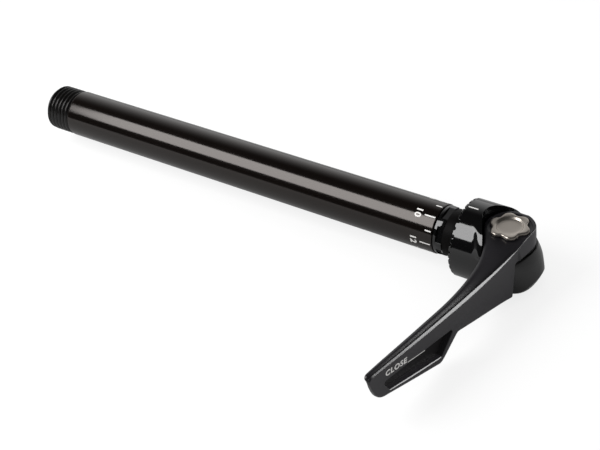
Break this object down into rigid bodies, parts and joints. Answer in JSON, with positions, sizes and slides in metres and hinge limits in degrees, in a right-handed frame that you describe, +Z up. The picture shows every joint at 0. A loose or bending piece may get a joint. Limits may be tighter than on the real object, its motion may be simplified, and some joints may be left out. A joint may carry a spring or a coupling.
{
  "type": "thru axle",
  "caption": "Hollow threaded thru axle with a castellated index ring, a serrated clamp head and an internal cam lever that closes to clamp a wheel hub in a fork.",
  "frame": {"origin": "on the axle's axis in the plane of the head's serrated clamp face, lever closed", "axes": "+Y along the axle from the head to the threaded end, +Z up along the cam shaft to its lobed end, the closed lever points along -X"},
  "size_m": [0.08, 0.1815, 0.0232],
  "materials": {
    "black_anodised": "gloss anodised",
    "dark_anodised": "satin anodised",
    "gloss_black": "gloss anodised",
    "satin_black": "satin anodised",
    "nickel_steel": "satin nickel",
    "steel": "zinc plated",
    "spring_steel": "oiled spring steel",
    "bronze": "sintered bronze",
    "rubber": "matte",
    "bearing_plastic": "matte"
  },
  "bodies": {
    "axle": {"axle_tube": "black_anodised", "bearing_collar": "bronze", "collar_clip": "spring_steel"},
    "index": {"draw_stem": "dark_anodised", "index_ring": "black_anodised", "ring_dowel": "steel", "tube_seal": "rubber", "stem_washer": "steel", "stem_nut": "steel", "spring_seat": "steel", "disc_spring_inner": "spring_steel", "disc_spring_outer": "spring_steel"},
    "head": {"head_housing": "gloss_black", "upper_bush": "bronze", "lower_bush": "bronze"},
    "lever": {"lever": "satin_black", "cam_shaft": "nickel_steel", "arm_washer": "bearing_plastic", "thrust_washer": "bearing_plastic", "retaining_clip": "spring_steel"}
  },
  "joints": [
    {"name": "position_index", "type": "hinge", "parent": "axle", "child": "index", "pos_m": [0, 0.006, 0], "axis": [0, 1, 0], "continuous": true},
    {"name": "clamp_slide", "type": "slide", "parent": "index", "child": "head", "axis": [0, -1, 0], "range_m": [0, 0.0012]},
    {"name": "lever_swing", "type": "hinge", "parent": "head", "child": "lever", "pos_m": [0, -0.0138, 0], "axis": [0, 0, 1], "range_deg": [0, 150]}
  ],
  "couplings": [
    {"joint": "clamp_slide", "follows": "lever_swing", "m_per_rad": 0.00045837}
  ]
}
